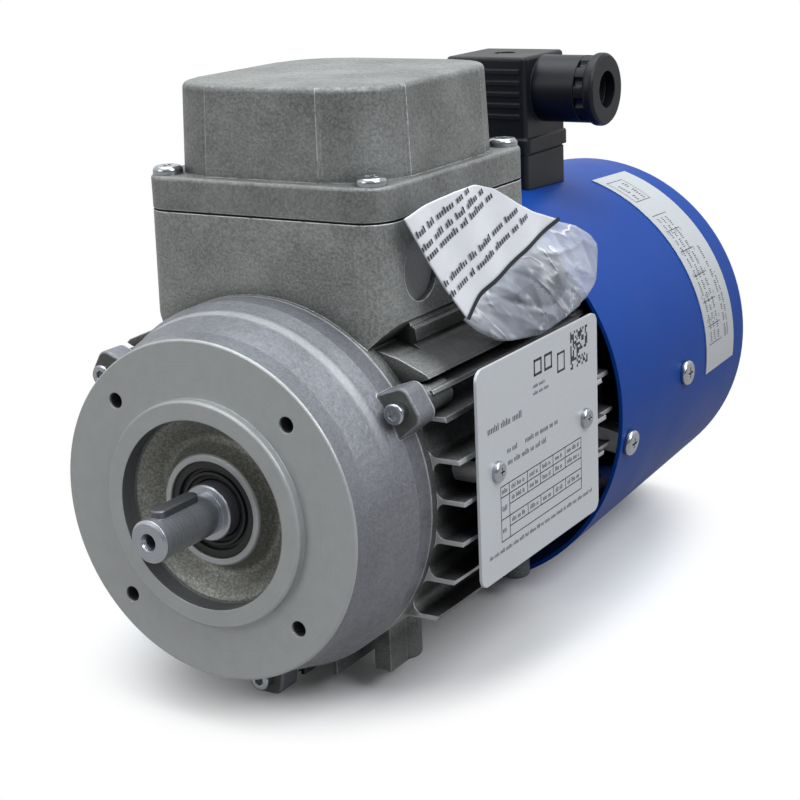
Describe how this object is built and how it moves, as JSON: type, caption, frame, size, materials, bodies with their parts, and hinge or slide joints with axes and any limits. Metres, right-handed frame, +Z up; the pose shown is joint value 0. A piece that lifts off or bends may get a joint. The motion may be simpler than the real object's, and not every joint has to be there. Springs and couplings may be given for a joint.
{
  "type": "alternating current motor",
  "caption": "Small three-phase motor with a face flange, finned cast frame, terminal box on top and a separately driven cooling fan in a round sheet-metal cowl.",
  "frame": {"origin": "on the shaft axis, in the plane of the flange's mating face", "axes": "+Y along the shaft axis into the motor, so the shaft end points to -Y; +Z up to the terminal box; +X to the side with the rating plate"},
  "size_m": [0.124, 0.252, 0.1632],
  "materials": {
    "cast_body": "as cast, machined at the flange",
    "zinc_screws": "zinc plated",
    "soft_rubber": "matt",
    "board_moulding": "moulded",
    "brass_parts": "plain",
    "entry_plastic": "moulded",
    "core_steel": "laminated",
    "winding_copper": "enamelled",
    "shaft_steel": "ground",
    "bearing_steel": "polished",
    "cage_aluminium": "die cast",
    "cowl_blue": "satin paint",
    "strip_foil": "printed foil",
    "carrier_zinc": "zinc plated",
    "motor_black": "matt paint",
    "fan_plastic": "moulded",
    "plate_foil": "printed sheet",
    "plug_plastic": "moulded",
    "bag_film": "clear film",
    "header_paper": "printed film"
  },
  "bodies": {
    "motor": {"front_shield": "cast_body", "stator_frame": "cast_body", "terminal_box_cover": "cast_body", "rear_shield": "cast_body", "shield_screws": "zinc_screws", "cover_screws": "zinc_screws", "earth_screw": "zinc_screws", "rear_screws": "zinc_screws", "cowl_screws": "zinc_screws", "fan_motor_screws": "zinc_screws", "plug_screw": "zinc_screws", "plate_screws": "zinc_screws", "board_screws": "zinc_screws", "terminal_box_gasket": "soft_rubber", "shaft_seal": "soft_rubber", "plug_gasket": "soft_rubber", "gland_seal": "soft_rubber", "terminal_board": "board_moulding", "terminal_studs": "brass_parts", "terminal_nuts": "brass_parts", "terminal_links": "brass_parts", "plug_pins": "brass_parts", "entry_disc": "entry_plastic", "spare_gland": "entry_plastic", "stator_core": "core_steel", "stator_winding": "winding_copper", "front_bearing_outer": "bearing_steel", "front_bearing_balls": "bearing_steel", "rear_bearing_outer": "bearing_steel", "rear_bearing_balls": "bearing_steel", "wave_washer": "bearing_steel", "fan_cowl": "cowl_blue", "cowl_strip": "strip_foil", "fan_carrier": "carrier_zinc", "fan_motor": "motor_black", "rating_plate": "plate_foil", "plug_base": "plug_plastic", "plug_housing": "plug_plastic", "gland_nut": "plug_plastic", "accessory_bag": "bag_film", "bag_header": "header_paper"},
    "rotor": {"rotor_shaft": "shaft_steel", "shaft_key": "shaft_steel", "rotor_core": "core_steel", "rotor_cage": "cage_aluminium", "front_bearing_inner": "bearing_steel", "rear_bearing_inner": "bearing_steel"},
    "fan": {"fan_shaft": "shaft_steel", "fan_impeller": "fan_plastic", "fan_clip": "bearing_steel"}
  },
  "joints": [
    {"name": "rotor_spin", "type": "hinge", "parent": "motor", "child": "rotor", "pos_m": [0, 0, 0], "axis": [0, 1, 0], "continuous": true},
    {"name": "fan_spin", "type": "hinge", "parent": "motor", "child": "fan", "pos_m": [0, 0.18, 0], "axis": [0, 1, 0], "continuous": true}
  ]
}
